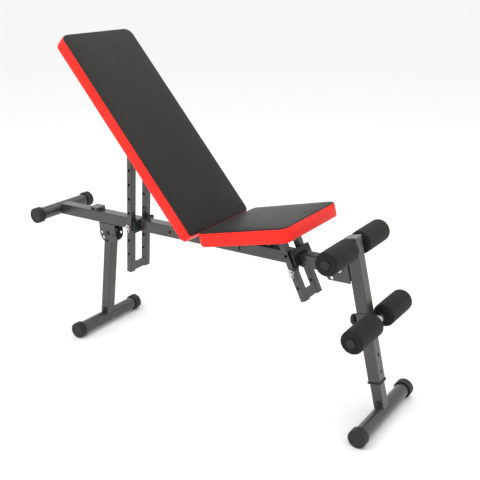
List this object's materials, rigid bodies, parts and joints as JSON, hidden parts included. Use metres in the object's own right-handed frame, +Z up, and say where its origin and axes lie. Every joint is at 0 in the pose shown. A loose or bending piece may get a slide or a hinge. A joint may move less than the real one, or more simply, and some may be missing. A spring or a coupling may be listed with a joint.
{
  "type": "decline sit-up bench",
  "caption": "Folding decline sit-up bench with a reclining backrest and tilting seat on notched props, a folding rear leg and foam foot rollers on a telescoping post.",
  "frame": {"origin": "on the floor, midway between the rear cross-bar and the front foot, on the centre plane", "axes": "+X towards the foot rollers, +Y to the sitter's left, +Z up"},
  "size_m": [1.381, 0.345, 1.071],
  "materials": {
    "frame_paint": "semi-gloss dark grey powder coat",
    "black_plastic": "moulded black plastic with fine ribs",
    "rubber": "matt black",
    "zinc": "bright zinc plate",
    "roller_steel": "polished steel",
    "pad_vinyl": "black grained vinyl with a red side band",
    "plywood": "plywood stained black",
    "foam": "matt black closed-cell foam"
  },
  "bodies": {
    "frame": {"main_beam": "frame_paint", "rear_crossbar": "frame_paint", "crossbar_caps": "black_plastic", "backrest_rest": "frame_paint", "rest_bumpers": "rubber", "leg_hinge_bracket": "frame_paint", "leg_pivot_bolt": "zinc", "backrest_hinge_ears": "frame_paint", "seat_hinge_ears": "frame_paint", "backrest_hinge_spacers": "zinc", "seat_hinge_spacers": "zinc", "backrest_hinge_bolt": "zinc", "seat_hinge_bolt": "zinc", "back_ladder_guide": "black_plastic", "seat_ladder_guide": "black_plastic", "seat_lock_lugs": "frame_paint", "post_pivot_bolt": "zinc"},
    "rear_leg": {"rear_leg_tube": "frame_paint", "rear_foot": "frame_paint", "rear_foot_caps": "black_plastic", "rear_foot_bolt": "zinc"},
    "leg_pin": {"leg_lock_pin": "zinc"},
    "backrest": {"backrest_pad": "pad_vinyl", "backrest_board": "plywood", "backrest_frame": "frame_paint", "backrest_screws": "zinc", "back_ladder_bolt": "zinc"},
    "back_ladder": {"back_ladder": "frame_paint"},
    "back_pin": {"back_lock_pin": "zinc"},
    "seat": {"seat_pad": "pad_vinyl", "seat_board": "plywood", "seat_frame": "frame_paint", "seat_screws": "zinc", "seat_ladder_bolt": "zinc"},
    "seat_ladder": {"seat_ladder": "frame_paint"},
    "seat_pin": {"seat_lock_pin": "zinc"},
    "front_post": {"front_post": "frame_paint", "post_top_cap": "black_plastic", "post_bracket": "frame_paint", "post_collar": "black_plastic", "upper_roller_tube": "roller_steel", "upper_roller_plugs": "black_plastic"},
    "post_pin": {"post_lock_pin": "zinc"},
    "front_leg": {"inner_leg": "frame_paint", "front_foot": "frame_paint", "front_foot_caps": "black_plastic", "front_foot_bolt": "zinc", "snap_button": "zinc"},
    "lower_roller": {"roller_bracket": "frame_paint", "lower_roller_tube": "roller_steel", "lower_roller_plugs": "black_plastic"},
    "roller_knob": {"roller_knob_pin": "zinc", "roller_knob": "black_plastic"},
    "upper_foam_left": {"upper_foam_left": "foam"},
    "upper_foam_right": {"upper_foam_right": "foam"},
    "lower_foam_left": {"lower_foam_left": "foam"},
    "lower_foam_right": {"lower_foam_right": "foam"}
  },
  "joints": [
    {"name": "rear_leg_fold", "type": "hinge", "parent": "frame", "child": "rear_leg", "pos_m": [-0.4159, 0, 0.37385], "axis": [0, 1, 0], "range_deg": [0, 80]},
    {"name": "leg_pin_pull", "type": "slide", "parent": "frame", "child": "leg_pin", "axis": [0, 1, 0], "range_m": [0, 0.03]},
    {"name": "backrest_tilt", "type": "hinge", "parent": "frame", "child": "backrest", "pos_m": [0.01972, 0, 0.47428], "axis": [0, 1, 0], "range_deg": [-49.2, 20]},
    {"name": "back_ladder_swing", "type": "hinge", "parent": "backrest", "child": "back_ladder", "pos_m": [-0.25465, 0, 0.7923], "axis": [0, 1, 0], "range_deg": [-1, 2.46]},
    {"name": "back_pin_pull", "type": "slide", "parent": "back_ladder", "child": "back_pin", "axis": [0, -1, 0], "range_m": [0, 0.05]},
    {"name": "seat_tilt", "type": "hinge", "parent": "frame", "child": "seat", "pos_m": [0.13632, 0, 0.47286], "axis": [0, -1, 0], "range_deg": [-11, 13]},
    {"name": "seat_ladder_swing", "type": "hinge", "parent": "seat", "child": "seat_ladder", "pos_m": [0.32212, 0, 0.51726], "axis": [0, -1, 0], "range_deg": [-18.2, 15.4]},
    {"name": "seat_pin_pull", "type": "slide", "parent": "seat_ladder", "child": "seat_pin", "axis": [0, -1, 0], "range_m": [0, 0.05]},
    {"name": "front_post_fold", "type": "hinge", "parent": "frame", "child": "front_post", "pos_m": [0.51263, 0, 0.45841], "axis": [0, 1, 0], "range_deg": [0, 50]},
    {"name": "post_pin_pull", "type": "slide", "parent": "front_post", "child": "post_pin", "axis": [0, -1, 0], "range_m": [0, 0.03]},
    {"name": "front_leg_extension", "type": "slide", "parent": "front_post", "child": "front_leg", "axis": [0.2343, 0, -0.9722], "range_m": [0, 0.108]},
    {"name": "lower_roller_height", "type": "slide", "parent": "front_post", "child": "lower_roller", "axis": [-0.2343, 0, 0.9722], "range_m": [-0.162, 0]},
    {"name": "roller_knob_pull", "type": "slide", "parent": "lower_roller", "child": "roller_knob", "axis": [-0.9722, 0, -0.2343], "range_m": [0, 0.012]},
    {"name": "upper_foam_left_spin", "type": "hinge", "parent": "front_post", "child": "upper_foam_left", "pos_m": [0.54183, 0, 0.52768], "axis": [0, 1, 0], "continuous": true},
    {"name": "upper_foam_right_spin", "type": "hinge", "parent": "front_post", "child": "upper_foam_right", "pos_m": [0.54183, 0, 0.52768], "axis": [0, 1, 0], "continuous": true},
    {"name": "lower_foam_left_spin", "type": "hinge", "parent": "lower_roller", "child": "lower_foam_left", "pos_m": [0.62943, 0, 0.32042], "axis": [0, 1, 0], "continuous": true},
    {"name": "lower_foam_right_spin", "type": "hinge", "parent": "lower_roller", "child": "lower_foam_right", "pos_m": [0.62943, 0, 0.32042], "axis": [0, 1, 0], "continuous": true}
  ],
  "couplings": [
    {"joint": "back_ladder_swing", "follows": "backrest_tilt", "ratio": -0.05},
    {"joint": "seat_ladder_swing", "follows": "seat_tilt", "ratio": -1.4}
  ]
}
